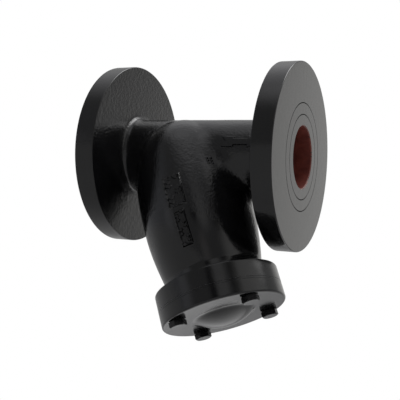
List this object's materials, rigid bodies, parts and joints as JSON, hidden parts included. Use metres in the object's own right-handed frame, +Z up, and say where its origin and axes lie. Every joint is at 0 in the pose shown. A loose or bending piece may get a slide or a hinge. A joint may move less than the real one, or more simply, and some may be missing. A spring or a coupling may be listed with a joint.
{
  "type": "y strainer",
  "caption": "Flanged cast-iron Y strainer with a slanted screen leg, a bolted domed cover and a removable perforated screen.",
  "frame": {"origin": "on the pipe axis, midway between the two flange faces", "axes": "+X along the flow, from the inlet flange to the outlet flange; +Z up; the screen leg points down and leans towards +X, in the XZ plane"},
  "size_m": [0.18, 0.165, 0.2479],
  "materials": {
    "black_enamel": "gloss",
    "gasket_sheet": "matte",
    "bolt_steel": "satin",
    "stainless_sheet": "satin",
    "woven_wire": "satin"
  },
  "bodies": {
    "body": {"body_casting": "black_enamel"},
    "cover": {"strainer_cover": "black_enamel"},
    "gasket": {"cover_gasket": "gasket_sheet"},
    "screen": {"screen_tube": "stainless_sheet", "screen_top_ring": "stainless_sheet", "screen_bottom_ring": "stainless_sheet", "mesh_liner": "woven_wire"},
    "bolt_1": {"cover_bolt_1": "bolt_steel"},
    "bolt_2": {"cover_bolt_2": "bolt_steel"},
    "bolt_3": {"cover_bolt_3": "bolt_steel"},
    "bolt_4": {"cover_bolt_4": "bolt_steel"}
  },
  "joints": [
    {"name": "cover_draw", "type": "slide", "parent": "body", "child": "cover", "axis": [0.4226, 0, -0.9063], "range_m": [0, 0.24]},
    {"name": "gasket_draw", "type": "slide", "parent": "body", "child": "gasket", "axis": [0.4226, 0, -0.9063], "range_m": [0, 0.216]},
    {"name": "screen_draw", "type": "slide", "parent": "body", "child": "screen", "axis": [0.4226, 0, -0.9063], "range_m": [0, 0.144]},
    {"name": "bolt_1_draw", "type": "slide", "parent": "cover", "child": "bolt_1", "axis": [0.4226, 0, -0.9063], "range_m": [0, 0.035]},
    {"name": "bolt_2_draw", "type": "slide", "parent": "cover", "child": "bolt_2", "axis": [0.4226, 0, -0.9063], "range_m": [0, 0.035]},
    {"name": "bolt_3_draw", "type": "slide", "parent": "cover", "child": "bolt_3", "axis": [0.4226, 0, -0.9063], "range_m": [0, 0.035]},
    {"name": "bolt_4_draw", "type": "slide", "parent": "cover", "child": "bolt_4", "axis": [0.4226, 0, -0.9063], "range_m": [0, 0.035]}
  ],
  "couplings": [
    {"joint": "gasket_draw", "follows": "cover_draw", "ratio": 0.9},
    {"joint": "screen_draw", "follows": "cover_draw", "ratio": 0.6}
  ]
}
